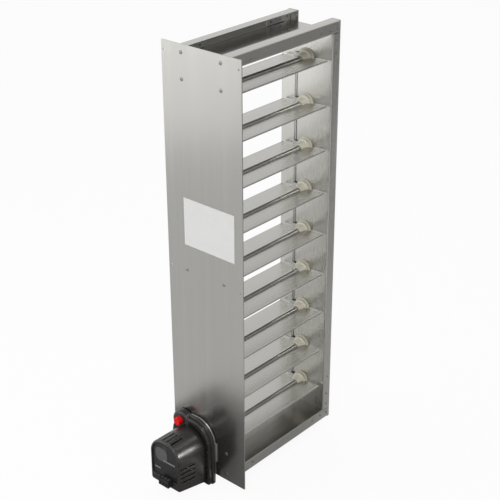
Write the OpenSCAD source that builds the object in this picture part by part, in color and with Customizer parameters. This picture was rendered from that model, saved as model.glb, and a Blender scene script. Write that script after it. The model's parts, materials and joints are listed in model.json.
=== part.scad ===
// Motorized duct damper: an aluminium channel frame with nine parallel blades, a link
// rod at the far jamb, and a spring return actuator on the mounting plate.
// Millimetres. X runs across the duct from the mounting plate, Y along the air stream,
// Z up. The origin is the centre of the plate's screw pattern, on the face of the
// plate that meets the duct wall. The blades are drawn in their open position.

/* [Frame] */
// Height of the frame
frame_h = 914; // [905:1:1000]
// Width of the frame, from the mounting plate to the far side
frame_w = 324; // [250:1:600]
// Depth of the frame along the air stream
frame_d = 130; // [125:1:180]
// Height of a channel's flanges
channel_d = 24; // [22:0.5:32]
// Width of a channel's inward lips
lip_w = 23; // [18:1:35]
// Thickness of the channel metal
sheet_t = 2; // [1.5:0.1:2.5]
// Width of a jamb's flange that runs past the end of a rail
coping_w = 8; // [6:1:9]

/* [Mounting plate] */
// How far the plate stands out past the frame at front and rear
plate_wing = 34; // [20:1:60]
// How far the plate stands out past the frame at top and bottom
plate_over = 4.5; // [1:0.5:15]
// Thickness of the plate
plate_t = 2; // [1.2:0.1:3]
// Radius of the plate's corners
plate_corner_r = 1.5; // [1:0.5:8]
// Distance from the plate's side to its screw holes
screw_side_inset = 6; // [5:0.5:9]
// Distance from the plate's end to its corner screw holes
screw_end_inset = 18.5; // [8:0.5:30]
// Radius of the screw holes
screw_hole_r = 2.2; // [1.5:0.1:3]

/* [Blades] */
// Number of blades
blade_count = 9; // [9:1:9]
// Width of a blade from edge to edge
blade_chord = 114; // [100:1:115]
// Thickness of a blade's wings
wing_t = 1.8; // [1.2:0.1:2.4]
// Diameter of the hollow rib along a blade's axis
rib_d = 13; // [12:0.5:14]
// Diameter of the bore of the rib
rib_bore_d = 8.4; // [8.2:0.1:9.5]
// Diameter of the bead along each edge of a blade
bead_d = 3; // [2.5:0.1:3.6]
// How far the rear edge of an open blade points down, in degrees
blade_tilt = 4.5; // [0:0.5:6]

/* [Bearings] */
// Diameter of a blade's journals and of the drive shaft
journal_d = 8; // [7:0.1:8]
// Diameter of the disc of a bearing cap
cap_disc_d = 33; // [28:1:36]
// Thickness of the disc of a bearing cap
cap_disc_t = 2.5; // [2:0.1:3.5]
// Diameter of a cap's barrel beside its disc
cap_barrel_d = 24; // [21:0.5:26]
// Diameter of a cap's barrel at its open end
cap_nose_d = 19; // [18:0.5:21]
// Length of a cap's barrel
cap_barrel_len = 14; // [10:1:25]
// Diameter of the flange of a jamb bush
bush_flange_d = 38; // [34:1:42]
// Thickness of the flange of a jamb bush
bush_flange_t = 1.5; // [1:0.1:2]
// Diameter of the barrel of a jamb bush
bush_barrel_d = 14; // [12:0.5:16]

/* [Linkage] */
// Distance from a blade's axis to its crank pin
crank_r = 26.35; // [25.5:0.05:27]
// Angle of the crank pin above the plane of the blade, in degrees
crank_angle = 9.4; // [9:0.1:10]
// Thickness of a crank
crank_t = 1.2; // [0.8:0.1:1.5]
// Diameter of a crank pin
pin_d = 3; // [2.4:0.1:3.2]
// Diameter of the link rod
rod_d = 2.2; // [2:0.1:3.2]
// Diameter of the link rod's eyes
eye_d = 8; // [7:0.5:9]

/* [Actuator] */
// Width of the actuator's base
base_w = 114; // [110:1:120]
// Height of the actuator's base
base_h = 148; // [144:1:156]
// Depth of the actuator's base
base_depth = 15; // [15:0.5:18]
// Radius of the base's arched corners
base_r = 52; // [48:1:54]
// Height of the top of the base above the drive shaft
base_rise = 38; // [37:0.5:42]
// Distance of the base's middle behind the drive shaft
base_shift = 38; // [36:1:40]
// Length of the housing in front of the base
housing_len = 73; // [66:1:90]
// Width of the housing at its front
nose_w = 84; // [78:1:86]
// Height of the housing at its front
nose_h = 109; // [106:1:110]
// Radius of the housing's arched corners at its front
nose_r = 38; // [34:1:40]
// Wall thickness of the housing
wall_t = 2.4; // [2:0.1:3]
// Diameter of the release button
button_d = 17.5; // [16:0.5:18]
// How far the release button stands out
button_out = 11; // [7:0.5:14]
// Travel of the release button
button_travel = 3; // [2:0.5:4]

/* [Hidden] */

// Working clearances
fit = 0.1;
run = 0.05;
gap = 0.3;
cut_over = 1;

// Frame, worked out from the sizes above
bend_r = 3;
bend_in_r = bend_r - sheet_t;
half_h = frame_h / 2;
half_d = frame_d / 2;
plate_w = frame_d + 2 * plate_wing;
plate_h = frame_h + 2 * plate_over;
screw_y = plate_w / 2 - screw_side_inset;
screw_z = plate_h / 2 - screw_end_inset;
web_far = frame_w - channel_d;
shaft_hole_r = 7;

// Rivets and empty holes of the frame, from the outer corner of the frame
rivet_head_d = 5.5;
rivet_head_h = 1.2;
rivet_shank_d = 3.2;
rivet_tail = 1.5;
rail_rivet_x1 = 33.5;
rail_rivet_x2 = 61.5;
rail_rivet_z = 15;
jamb_rivet_x = 14;
jamb_rivet_z1 = 37;
jamb_rivet_z2 = 64;
corner_rivet_x = 12.5;
corner_rivet_z = 13;
spare_hole_r = 2;
spare_hole_x = 11.5;
spare_hole_z = 107;
plate_rivet_y = 49;
plate_rivet_head_d = 8;
plate_rivet_z1 = half_h - 11;
plate_rivet_z2 = half_h - 62;
plate_rivet_z3 = 3;
plate_rivets_at = [
    for (z = [plate_rivet_z1, plate_rivet_z2, plate_rivet_z3], s = [-1, 1]) [s * plate_rivet_y, z],
    for (z = [-plate_rivet_z1, -plate_rivet_z2]) [-plate_rivet_y, z]
];
gusset_t = 1.6;
gusset_leg_x = 72;
gusset_leg_z = 76;
gusset_inset = 4;
gusset_w = channel_d - gusset_inset - sheet_t - bend_in_r;
rivet_top_share = 0.6;
rivet_tail_d = 4.6;

// Label on the plate
label_w = 131;
label_h = 100;
label_t = 0.3;
label_y = -12.5;
label_z = 108;

// Blades and their bearings
end_clear = 0.8;
blade_pitch = (frame_h - 2 * channel_d - blade_chord - 2 * end_clear) / (blade_count - 1);
rib_r = rib_d / 2;
rod_r = rod_d / 2;
disc_face = bush_flange_t + gap + rod_d + gap + crank_t;
cap_len = cap_barrel_len + cap_disc_t;
blade_end_gap = disc_face + fit;
journal_len = disc_face + sheet_t + bush_flange_t + gap;
bush_tail_d = 18;
peg_len = 10;
crank_hub_d = 14;
crank_eye_d = 8;
pin_head_d = 4.8;
pin_head_h = 0.6;
drive_blade = blade_count;
pin_a = crank_angle - blade_tilt;
pin_y = crank_r * cos(pin_a);
pin_z = crank_r * sin(pin_a);
rod_x = web_far - bush_flange_t - gap - rod_r;
shaft_z = -blade_pitch * (blade_count - 1) / 2;
shaft_in = 40;

// Actuator base, measured from the plate's outer face and the drive shaft's axis
face_x = -plate_t;
bracket_t = 2;
bracket_inset = 1.5;
tab_out = 3;
tab_len = 44;
tab_root = 4;
tab_z = -52;
base_back = face_x - bracket_t;
base_front = base_back - base_depth;
base_floor = base_rise - base_h;
base_corner_r = 6;
base_wall = 3;
tier_depth = 7;
tier_inset = 4;
front_wall = 3;
ear_r = 24;
ear_y = 64.5;
ear_z = 18.5;
ear_boss = 1;
ear_round = 2.5;
ear_front = base_front - ear_boss;
button_y = 66;
button_z = 23;
button_stem_d = 6;
button_body_len = 7;
button_rim = 1;
curl_rest = 3;
pocket_len = button_body_len + button_travel + curl_rest;

// Housing, worked out from the base
root_inset = 13;
root_up = 5;
root_w = base_w - 2 * root_inset;
root_lower = 20;
root_h = base_h - root_lower - root_up;
root_crown = 1;
root_r = root_w / 2 - root_crown;
nose_shift = 5;
nose_y = base_shift + nose_shift;
nose_up = 15;
nose_round = 3;
nose_x = base_front - housing_len;
panel_inset = 6;
panel_foot = 19;
panel_back = 2.5;
panel_t = 1.2;
panel_wall = 1;
panel_facets = 96;
front_t = panel_back + panel_t + panel_wall;
panel_x = nose_x + panel_back;
vent_x = nose_x + front_t;
pad_t = 0.8;
pad_w = 34;
pad_h = 32;
pad_r = 12;
pad_y = 10.5;
pad_z = 72.5;
bar_h = 3;
bar_out = 1.5;
long_bar_w = 34;
long_bar_y = -12;
long_bar_z = 61;
short_bar_w = 16;
short_bar_y = 22;
short_bar_z = 37;
housing_facets = 64;
slab = 0.2;
vent_reach = 10;
vent_w = 3.2;
top_vent_len = 32;
top_vent_pitch = 12;
top_vents = 4;
top_vent_y = 2.5;
side_vent_len = 39;
side_vent_pitch = 10.4;
side_vents = 4;
side_vent_z = 22.5;
nose_low = base_floor + nose_up;
nose_top = nose_low + nose_h;
nose_side = nose_y - nose_w / 2;
top_vent_side = nose_y + top_vent_y - ((top_vents - 1) * top_vent_pitch + vent_w) / 2;
side_vent_low = nose_low + side_vent_z;

// Terminal block
block_w = 28;
block_h = 17;
block_len = 12;
block_wall = 3;
block_y = -6.5;
block_up = 8;
block_ways = 3;
block_pitch = 8.6;
block_screw_d = 5;
block_screw_h = 3;
block_lift = 3;
wire_hole_z = 6;
block_low = nose_low + block_up;
block_mid = nose_y + block_y;
block_side = block_mid - block_w / 2;
slot_w = 0.8;

// Gear train, from the drive shaft down to the motor
mod = 1;
pinion_teeth = 10;
wheel_teeth = 36;
output_teeth = 24;
tooth_root = 1.2;
tooth_tip = 0.85;
root_share = 0.29;
tip_share = 0.11;
train_dir = -45;
mesh_out = mod * (output_teeth + pinion_teeth) / 2;
mesh_in = mod * (wheel_teeth + pinion_teeth) / 2;
mesh_all = mesh_out + 2 * mesh_in;
post_d = 4;
layer_a = 4.6;
layer_b = 2.4;
layer_c = 2.4;
layer_gap = 0.3;
a_front = base_back - layer_gap - layer_a;
b_front = a_front - layer_gap - layer_b;
c_front = b_front - layer_gap - layer_c;
motor_d = 38;
motor_len = 30;
motor_boss_d = 10;
motor_boss_len = 2;
motor_shaft_d = 3;
motor_x = base_front;
motor_end = 3;
spring_turns = 3.5;
spring_in_r = 3.9;
spring_out_r = 14;
spring_strip = 0.6;
spring_steps = 18;
spring_h = 3.6;
spring_x = a_front + layer_gap;
arbor_d = 6;

// Circuit board and fasteners
board_t = 1.6;
board_w = 62;
board_h = 66;
board_x = 12;
board_up = 5;
relay_size = 16;
cap_can_d = 12;
cap_can_len = 14;
base_screw_d = 3.5;
base_screw_hole_d = base_screw_d + 2 * fit;
base_screw_head_d = 5.6;
base_screw_head_h = 2;
boss_d = 7;
ring_in = tier_inset + boss_d / 2;
ring_side = base_w / 2 - ring_in;
ring_low = 20;
ring_high = 85;
base_screws_at = [
    for (s = [-1, 1], z = [ring_low, ring_high])
        [base_shift + s * ring_side, base_floor + z]
];
case_screw_d = 3;
case_screw_hole_d = case_screw_d + 2 * fit;
case_screw_head_d = 5.4;
case_screw_head_h = 1.8;
case_screw_len = 12;
case_boss_d = 7;
case_in = 5;
case_low = 14;
case_high = 70;
case_screws_at = [
    for (s = [-1, 1], z = [case_low, case_high])
        [base_shift + s * (root_w / 2 - case_in), base_floor + z]
];

// Button spring: a helix of round wire
curl_count = 4;
curl_rings = 8;
curl_sides = 6;
curl_wire_r = 0.35;
curl_r = 2.2;
curl_len = pocket_len - button_body_len - gap - 2 * curl_wire_r;

CREAM = [0.89, 0.86, 0.78];
ALU = [0.78, 0.78, 0.77];
DARK = [0.13, 0.13, 0.14];
STEEL = [0.72, 0.73, 0.74];

BLADES = [for (i = [1:blade_count]) str("blade_", i)];
CAPS = [for (i = [1:blade_count]) str("bearing_caps_", i)];
CRANKS = [for (i = [1:blade_count]) str("crank_", i)];

// Height of the axis of blade i, counted from the top
function blade_z(i) = blade_pitch * ((blade_count + 1) / 2 - i);

// Point at a distance along the line of the gear train
function train(d) = [d * cos(train_dir), d * sin(train_dir)];

// Lays a flat outline in the YZ plane at x and gives it a thickness towards +X
module on_x(x, t) {
    translate([x, 0, 0])
        rotate([90, 0, 90])
            linear_extrude(t)
                children();
}

module rod_x_axis(x, len, d, n = 48) {
    translate([x, 0, 0])
        rotate([0, 90, 0])
            cylinder(h = len, d = d, $fn = n);
}

module round_rect(w, h, r) {
    square([w - 2 * r, h], center = true);
    square([w, h - 2 * r], center = true);
    for (sx = [-1, 1], sy = [-1, 1])
        translate([sx * (w / 2 - r), sy * (h / 2 - r)])
            circle(r = r, $fn = 32);
}

// C section: the web lies on the first axis, the lips stand channel_d above it
module channel_section() {
    difference() {
        translate([0, channel_d / 2])
            difference() {
                round_rect(frame_d, channel_d, bend_r);
                round_rect(frame_d - 2 * sheet_t, channel_d - 2 * sheet_t, bend_in_r);
            }
        translate([-(half_d - lip_w), channel_d / 2])
            square([frame_d - 2 * lip_w, channel_d]);
    }
}

// Arched outline: flat foot at zero, corners of radius r at the top
module arch(w, h, r, foot_r, n) {
    translate([-w / 2, foot_r])
        square([w, h - r - foot_r]);
    translate([-(w / 2 - foot_r), 0])
        square([w - 2 * foot_r, h - r]);
    translate([-(w / 2 - r), 0])
        square([w - 2 * r, h]);
    for (s = [-1, 1]) {
        translate([s * (w / 2 - r), h - r])
            circle(r = r, $fn = n);
        translate([s * (w / 2 - foot_r), foot_r])
            circle(r = foot_r, $fn = n / 2);
    }
}

// Outline of the base, drawn smaller by inset at the sides and top and by foot at its foot
module base_outline(inset, foot) {
    translate([base_shift, base_floor + foot])
        arch(base_w - 2 * inset, base_h - inset - foot, base_r - inset, base_corner_r, 96);
}

// Puts a piece in a corner of the frame: x, y and z are measured inwards from its faces
module in_corner(far, rear, top) {
    translate([far * frame_w, (2 * rear - 1) * half_d, (2 * top - 1) * half_h])
        mirror([far, 0, 0])
            mirror([0, rear, 0])
                mirror([0, 0, top])
                    children();
}

module y_cylinder(x, z, y0, y1, d, d_end) {
    translate([x, y0, z])
        rotate([-90, 0, 0])
            cylinder(h = y1 - y0, d1 = d, d2 = d_end, $fn = 24);
}

// Places of the rivets at one corner: on the rail, then on the jamb
function rail_places(rear, top) = (rear == 0 && top == 0)
    ? [[rail_rivet_x1, rail_rivet_z], [corner_rivet_x, corner_rivet_z]]
    : [[rail_rivet_x1, rail_rivet_z], [rail_rivet_x2, rail_rivet_z], [corner_rivet_x, corner_rivet_z]];
jamb_places = [[jamb_rivet_x, jamb_rivet_z1], [jamb_rivet_x, jamb_rivet_z2]];

module corner_drills(places, d) {
    for (p = places)
        y_cylinder(p[0], p[1], -cut_over, sheet_t + gusset_t + cut_over, d, d);
}

module mounting_plate() {
    color(ALU)
        difference() {
            on_x(face_x, plate_t)
                round_rect(plate_w, plate_h, plate_corner_r);
            for (s = [-1, 1], z = [screw_z, 0])
                translate([0, s * screw_y, z])
                    rod_x_axis(face_x - cut_over, plate_t + 2 * cut_over, 2 * screw_hole_r);
            for (p = plate_rivets_at)
                translate([0, p[0], p[1]])
                    rod_x_axis(face_x - cut_over, plate_t + 2 * cut_over, rivet_shank_d + 2 * fit);
            translate([0, 0, shaft_z]) {
                rod_x_axis(face_x - cut_over, plate_t + 2 * cut_over, 2 * shaft_hole_r);
                for (p = base_screws_at)
                    translate([0, p[0], p[1]])
                        rod_x_axis(face_x - cut_over, plate_t + 2 * cut_over, base_screw_hole_d);
            }
        }
}

module jamb() {
    difference() {
        translate([channel_d, 0, -half_h])
            linear_extrude(frame_h)
                rotate(90)
                    channel_section();
        for (top = [0, 1])
            mirror([0, 0, top])
                translate([coping_w, -half_d - cut_over, -half_h - cut_over])
                    cube([channel_d, frame_d + 2 * cut_over, channel_d + cut_over]);
        for (i = [1:blade_count])
            translate([0, 0, blade_z(i)])
                rod_x_axis(channel_d - sheet_t - cut_over, sheet_t + 2 * cut_over, bush_barrel_d + 2 * fit);
        for (rear = [0, 1], top = [0, 1])
            in_corner(0, rear, top)
                corner_drills(jamb_places, rivet_shank_d + 2 * fit);
    }
}

module left_jamb() {
    color(ALU)
        difference() {
            jamb();
            for (p = plate_rivets_at)
                translate([0, p[0], p[1]])
                    rod_x_axis(-cut_over, sheet_t + 2 * cut_over, rivet_shank_d + 2 * fit);
        }
}

module right_jamb() {
    color(ALU)
        difference() {
            translate([frame_w, 0, 0])
                mirror([1, 0, 0])
                    jamb();
            in_corner(1, 0, 0)
                translate([spare_hole_x, 0, spare_hole_z])
                    y_cylinder(0, 0, -cut_over, sheet_t + cut_over, 2 * spare_hole_r, 2 * spare_hole_r);
        }
}

// A rail is drawn as the top one: web below, lips above, ends inside the jambs' lips
module rail(top) {
    end = sheet_t + bend_in_r;
    difference() {
        mirror([0, 0, 1 - top])
            translate([0, 0, half_h - channel_d])
                on_x(end, frame_w - 2 * end)
                    channel_section();
        for (far = [0, 1], rear = [0, 1])
            in_corner(far, rear, top) {
                translate([-cut_over, -cut_over, -cut_over])
                    cube([coping_w + fit + cut_over, sheet_t + fit + cut_over, channel_d + 2 * cut_over]);
                translate([gusset_inset - gap, sheet_t, channel_d - sheet_t - bend_in_r - cut_over])
                    cube([gusset_w + 2 * gap, gusset_t + gap, sheet_t + bend_in_r + 2 * cut_over]);
                corner_drills(rail_places(rear, top), rivet_shank_d + 2 * fit);
                if (rear == 0 && top == 0)
                    corner_drills([[rail_rivet_x2, rail_rivet_z]], 2 * spare_hole_r);
            }
    }
}

module top_channel() {
    color(ALU) rail(1);
}

module bottom_channel() {
    color(ALU) rail(0);
}

// L shaped plates inside the flanges, one at the front and one at the rear of a corner
module corner_gussets() {
    leg_low = sheet_t + bend_in_r;
    leg_high = channel_d - sheet_t - bend_in_r;
    color(STEEL)
        for (far = [0, 1], rear = [0, 1], top = [0, 1])
            in_corner(far, rear, top)
                difference() {
                    translate([gusset_inset, sheet_t, leg_low])
                        union() {
                            cube([gusset_leg_x - gusset_inset, gusset_t, leg_high - leg_low]);
                            cube([gusset_w, gusset_t, gusset_leg_z - leg_low]);
                        }
                    corner_drills(rail_places(rear, top), rivet_shank_d + 2 * fit);
                    corner_drills(jamb_places, rivet_shank_d + 2 * fit);
                    corner_drills([[rail_rivet_x2, rail_rivet_z]], 2 * spare_hole_r);
                }
}

module rivet(stack, head_d) {
    y_cylinder(0, 0, -rivet_head_h, 0, head_d * rivet_top_share, head_d);
    y_cylinder(0, 0, -rivet_head_h / 2, stack + rivet_tail, rivet_shank_d, rivet_shank_d);
    y_cylinder(0, 0, stack, stack + rivet_tail, rivet_tail_d, rivet_shank_d);
}

module frame_rivets() {
    color(STEEL)
        for (far = [0, 1], rear = [0, 1], top = [0, 1])
            in_corner(far, rear, top)
                for (p = concat(rail_places(rear, top), jamb_places))
                    translate([p[0], 0, p[1]])
                        rivet(sheet_t + gusset_t, rivet_head_d);
}

module plate_rivets() {
    color(STEEL)
        for (p = plate_rivets_at)
            translate([face_x, p[0], p[1]])
                rotate([0, 0, -90])
                    rivet(plate_t + sheet_t, plate_rivet_head_d);
}

module plate_label() {
    color("white")
        on_x(face_x - label_t, label_t)
            translate([label_y, label_z])
                square([label_w, label_h], center = true);
}

// Flanged nylon bush snapped into a jamb's web, drawn at the far jamb
module bush() {
    difference() {
        union() {
            rod_x_axis(web_far - bush_flange_t, bush_flange_t, bush_flange_d, 72);
            rod_x_axis(web_far - cut_over / 2, sheet_t + cut_over, bush_barrel_d);
            rod_x_axis(web_far + sheet_t, bush_flange_t, bush_tail_d);
        }
        rod_x_axis(web_far - bush_flange_t - cut_over, journal_len, journal_d + 2 * run);
    }
}

module right_bushes() {
    color(CREAM)
        for (i = [1:blade_count])
            translate([0, 0, blade_z(i)])
                bush();
}

module left_bushes() {
    translate([frame_w, 0, 0])
        mirror([1, 0, 0])
            right_bushes();
}

// Carries children to the axis of blade i and turns them with the open blade
module on_blade(i) {
    translate([0, 0, blade_z(i)])
        rotate([-blade_tilt, 0, 0])
            children();
}

module blade_outline() {
    difference() {
        union() {
            circle(d = rib_d, $fn = 48);
            square([blade_chord - bead_d, wing_t], center = true);
            for (s = [-1, 1])
                translate([s * (blade_chord - bead_d) / 2, 0])
                    circle(d = bead_d, $fn = 24);
        }
        circle(d = rib_bore_d, $fn = 48);
    }
}

// The rib is cut back at both ends for the core of the bearing cap
module blade(i) {
    start = channel_d + blade_end_gap;
    length = frame_w - 2 * start;
    core = cap_disc_t + fit;
    color(ALU)
        on_blade(i)
            difference() {
                on_x(start, length)
                    blade_outline();
                for (x = [start - cut_over, start + length - core])
                    rod_x_axis(x, core + cut_over, rib_d + 2 * fit);
            }
}

module wing_slot(x, length, y0) {
    for (s = [-1, 1])
        translate([x, s * (y0 + cap_disc_d) / 2 - (cap_disc_d - y0) / 2, -wing_t / 2 - fit])
            cube([length, cap_disc_d - y0, wing_t + 2 * fit]);
}

// Nylon cap on a blade's end, drawn at the far jamb. The driven end has a bore for the shaft
module cap(driven) {
    face = web_far - disc_face;
    inner = face - cap_disc_t;
    nose = inner - cap_barrel_len;
    difference() {
        union() {
            rod_x_axis(inner, cap_disc_t, cap_disc_d, 72);
            translate([nose, 0, 0])
                rotate([0, 90, 0])
                    cylinder(h = cap_barrel_len, d1 = cap_nose_d, d2 = cap_barrel_d, $fn = 48);
            if (!driven)
                rod_x_axis(face - cut_over, journal_len + cut_over, journal_d);
        }
        rod_x_axis(nose - cut_over, cap_barrel_len + cut_over, rib_d + 2 * fit);
        wing_slot(nose - cut_over, cap_barrel_len + cut_over, 0);
        wing_slot(nose - cut_over, cap_len + 2 * cut_over, rib_r);
        if (driven)
            rod_x_axis(nose - cut_over, cap_len + 2 * cut_over, journal_d + 2 * run);
    }
    if (!driven)
        rod_x_axis(inner - peg_len, peg_len + cut_over, rib_bore_d - 2 * fit);
}

module bearing_caps(i) {
    color(CREAM)
        on_blade(i) {
            cap(false);
            translate([frame_w, 0, 0])
                mirror([1, 0, 0])
                    cap(i == drive_blade);
        }
}

module crank(i) {
    face = web_far - disc_face;
    color(STEEL)
        on_blade(i)
            rotate([crank_angle, 0, 0]) {
                difference() {
                    on_x(face, crank_t) {
                        circle(d = crank_hub_d, $fn = 48);
                        polygon([
                            [0, -crank_hub_d / 2], [crank_r, -crank_eye_d / 2],
                            [crank_r, crank_eye_d / 2], [0, crank_hub_d / 2]
                        ]);
                        translate([crank_r, 0])
                            circle(d = crank_eye_d, $fn = 32);
                    }
                    rod_x_axis(face - cut_over, crank_t + 2 * cut_over, journal_d + 2 * run);
                }
                translate([0, crank_r, 0]) {
                    rod_x_axis(face, crank_t + gap + rod_d + fit + pin_head_h, pin_d, 32);
                    rod_x_axis(face + crank_t + gap + rod_d + fit, pin_head_h, pin_head_d, 32);
                }
            }
}

// Straight wire with an eye on every crank pin
module link_rod() {
    low = blade_z(blade_count) + pin_z;
    color(STEEL)
        difference() {
            union() {
                translate([rod_x, pin_y, low])
                    cylinder(h = blade_pitch * (blade_count - 1), d = rod_d, $fn = 32);
                for (i = [1:blade_count])
                    translate([0, pin_y, blade_z(i) + pin_z])
                        rod_x_axis(rod_x - rod_r, rod_d, eye_d);
            }
            for (i = [1:blade_count])
                translate([0, pin_y, blade_z(i) + pin_z])
                    rod_x_axis(rod_x - rod_r - cut_over, rod_d + 2 * cut_over, pin_d + 2 * run);
        }
}

module drive_shaft() {
    color(STEEL)
        translate([0, 0, shaft_z])
            rod_x_axis(a_front, channel_d + shaft_in - a_front, journal_d);
}

// Sheet behind the base, with a tab at its edge and a post that holds the spring's end
module actuator_bracket() {
    edge = base_shift - base_w / 2;
    idler = train(mesh_out + mesh_in);
    color(STEEL)
        translate([0, 0, shaft_z])
            difference() {
                union() {
                    on_x(base_back, bracket_t)
                        base_outline(bracket_inset, bracket_inset);
                    translate([base_back, edge - tab_out, tab_z])
                        cube([bracket_t, tab_out + tab_root, tab_len]);
                    translate([0, idler[0] + spring_out_r + post_d / 2, idler[1]])
                        rod_x_axis(spring_x, base_back + bracket_t / 2 - spring_x, post_d);
                }
                rod_x_axis(base_back - cut_over, bracket_t + 2 * cut_over, 2 * shaft_hole_r);
                for (p = base_screws_at)
                    translate([0, p[0], p[1]])
                        rod_x_axis(base_back - cut_over, bracket_t + 2 * cut_over, base_screw_hole_d);
            }
}

// Round ear that carries the release button, with a bevelled front edge
module ear() {
    translate([0, ear_y, ear_z]) {
        translate([ear_front, 0, 0])
            rotate([0, 90, 0])
                cylinder(h = ear_round, r1 = ear_r - ear_round, r2 = ear_r, $fn = 96);
        rod_x_axis(ear_front + ear_round, base_back - ear_front - ear_round, 2 * ear_r, 96);
    }
}

// Base: a stepped shell open towards the plate; the ear's face is cut clear of the housing
module actuator_base() {
    step_x = base_back - tier_depth;
    floor_x = base_front + front_wall;
    through = base_depth + 2 * cut_over;
    color(DARK)
        translate([0, 0, shaft_z])
            difference() {
                union() {
                    difference() {
                        union() {
                            on_x(step_x, tier_depth)
                                base_outline(0, 0);
                            on_x(base_front, base_depth)
                                base_outline(tier_inset, 0);
                            ear();
                        }
                        on_x(step_x, tier_depth + cut_over)
                            base_outline(base_wall, base_wall);
                        on_x(floor_x, base_depth)
                            base_outline(tier_inset + base_wall, base_wall);
                    }
                    for (p = base_screws_at)
                        translate([0, p[0], p[1]])
                            rod_x_axis(base_front, base_depth, boss_d);
                    translate([0, button_y, button_z])
                        rod_x_axis(ear_front, base_back - ear_front, button_d + 2 * base_wall);
                    for (d = [mesh_out, mesh_out + mesh_in])
                        translate([0, train(d)[0], train(d)[1]])
                            rod_x_axis(base_front, base_depth, post_d);
                }
                on_x(ear_front - cut_over, ear_boss + cut_over)
                    translate([base_shift, base_floor + root_up - gap])
                        arch(root_w + 2 * gap, root_h + 2 * gap, root_r + gap, base_corner_r, 96);
                for (p = base_screws_at)
                    translate([0, p[0], p[1]])
                        rod_x_axis(base_front - cut_over, through, base_screw_hole_d);
                for (p = case_screws_at)
                    translate([0, p[0], p[1]])
                        rod_x_axis(base_front - cut_over, front_wall + 2 * cut_over, case_screw_hole_d);
                translate([0, train(mesh_all)[0], train(mesh_all)[1]])
                    rod_x_axis(base_front - cut_over, front_wall + 2 * cut_over, motor_boss_d + 2 * fit);
                translate([0, button_y, button_z])
                    rod_x_axis(ear_front - cut_over, pocket_len + cut_over, button_d + 2 * run);
            }
}

// Slab of the housing's arched section, thickness slab, for the lofts below
module arch_slab(x, w, h, r, y, up) {
    on_x(x, slab)
        translate([y, base_floor + up])
            arch(w, h, r, base_corner_r, housing_facets);
}

// Section of the nose at x, drawn smaller by inset all round
module nose_slab(x, inset) {
    arch_slab(x, nose_w - 2 * inset, nose_h - 2 * inset, nose_r - inset, nose_y, nose_up + inset);
}

// Loft from the root at the base to the rounded nose; inset moves every wall inwards
module housing_form(inset, front_inset) {
    root_in_w = root_w - 2 * inset;
    root_in_h = root_h - 2 * inset;
    hull() {
        arch_slab(base_front - slab, root_in_w, root_in_h, root_r - inset, base_shift, root_up + inset);
        nose_slab(nose_x + nose_round + front_inset, inset);
        nose_slab(nose_x + front_inset, inset + nose_round);
    }
}

// Outline of the recess in the nose; the panel in it is smaller by inset
module panel_outline(inset) {
    edge = panel_inset + inset;
    high = nose_h - panel_foot - panel_inset - 2 * inset;
    translate([nose_y, nose_low + panel_foot + inset])
        arch(nose_w - 2 * edge, high, nose_r - edge, base_corner_r / 2, panel_facets);
}

// Opening for the root of the terminal block, wider by grow on every side
module block_window(x, length, grow) {
    wide = block_w - 2 * block_wall + 2 * grow;
    high = block_h - block_lift - 2 * block_wall + 2 * grow;
    translate([x, block_mid - wide / 2, block_low + block_wall + block_lift - grow])
        cube([length, wide, high]);
}

module actuator_housing() {
    screw_hole_x = base_front - case_screw_len + 2 * wall_t;
    color(DARK)
        translate([0, 0, shaft_z])
            difference() {
                housing_form(0, 0);
                difference() {
                    housing_form(wall_t, front_t);
                    for (p = case_screws_at)
                        translate([0, p[0], p[1]])
                            rod_x_axis(base_front - case_screw_len, case_screw_len + cut_over, case_boss_d);
                }
                on_x(nose_x - cut_over, panel_back + panel_t + cut_over)
                    panel_outline(0);
                block_window(nose_x - cut_over, front_t + nose_round + 2 * cut_over, fit);
                for (k = [0:top_vents - 1])
                    translate([vent_x, top_vent_side + k * top_vent_pitch, nose_top - vent_reach])
                        cube([top_vent_len, vent_w, 2 * vent_reach]);
                for (k = [0:side_vents - 1])
                    translate([vent_x, nose_side - vent_reach, side_vent_low + k * side_vent_pitch])
                        cube([side_vent_len, 2 * vent_reach, vent_w]);
                for (p = case_screws_at)
                    translate([0, p[0], p[1]])
                        rod_x_axis(screw_hole_x, case_screw_len, case_screw_hole_d);
            }
}

// Raised bar across the panel, its middle at y and z from the nose's middle and foot
module panel_bar(y, z, w) {
    on_x(panel_x - bar_out, bar_out + panel_t / 2)
        translate([nose_y + y, nose_low + z])
            square([w, bar_h], center = true);
}

module front_panel() {
    color([0.2, 0.2, 0.21])
        translate([0, 0, shaft_z])
            difference() {
                union() {
                    on_x(panel_x, panel_t)
                        panel_outline(fit);
                    on_x(panel_x - pad_t, pad_t + panel_t / 2)
                        translate([nose_y + pad_y, nose_low + pad_z])
                            round_rect(pad_w, pad_h, pad_r);
                    panel_bar(long_bar_y, long_bar_z, long_bar_w);
                    panel_bar(short_bar_y, short_bar_z, short_bar_w);
                }
                block_window(nose_x - cut_over, front_t + cut_over, fit);
            }
}

// Red plunger that frees the gear train when pressed
module release_button() {
    tip = ear_front - button_out;
    face_d = button_d - 2 * button_rim;
    color("red")
        translate([0, button_y, shaft_z + button_z])
            difference() {
                union() {
                    rod_x_axis(tip + button_rim, button_out + button_body_len - button_rim, button_d);
                    translate([tip, 0, 0])
                        rotate([0, 90, 0])
                            cylinder(h = button_rim, d1 = face_d, d2 = button_d, $fn = 48);
                }
                rod_x_axis(tip - cut_over, button_rim + cut_over, button_stem_d);
            }
}

// Centre line of the button's spring at turn t, then a ring of points round the wire
function curl_point(t) = [curl_len * t / curl_count, curl_r * cos(360 * t), curl_r * sin(360 * t)];
function curl_ring(t) = [
    for (k = [0:curl_sides - 1])
        let (a = 360 * k / curl_sides, c = curl_r + curl_wire_r * cos(a))
            [curl_point(t)[0] + curl_wire_r * sin(a), c * cos(360 * t), c * sin(360 * t)]
];

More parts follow.
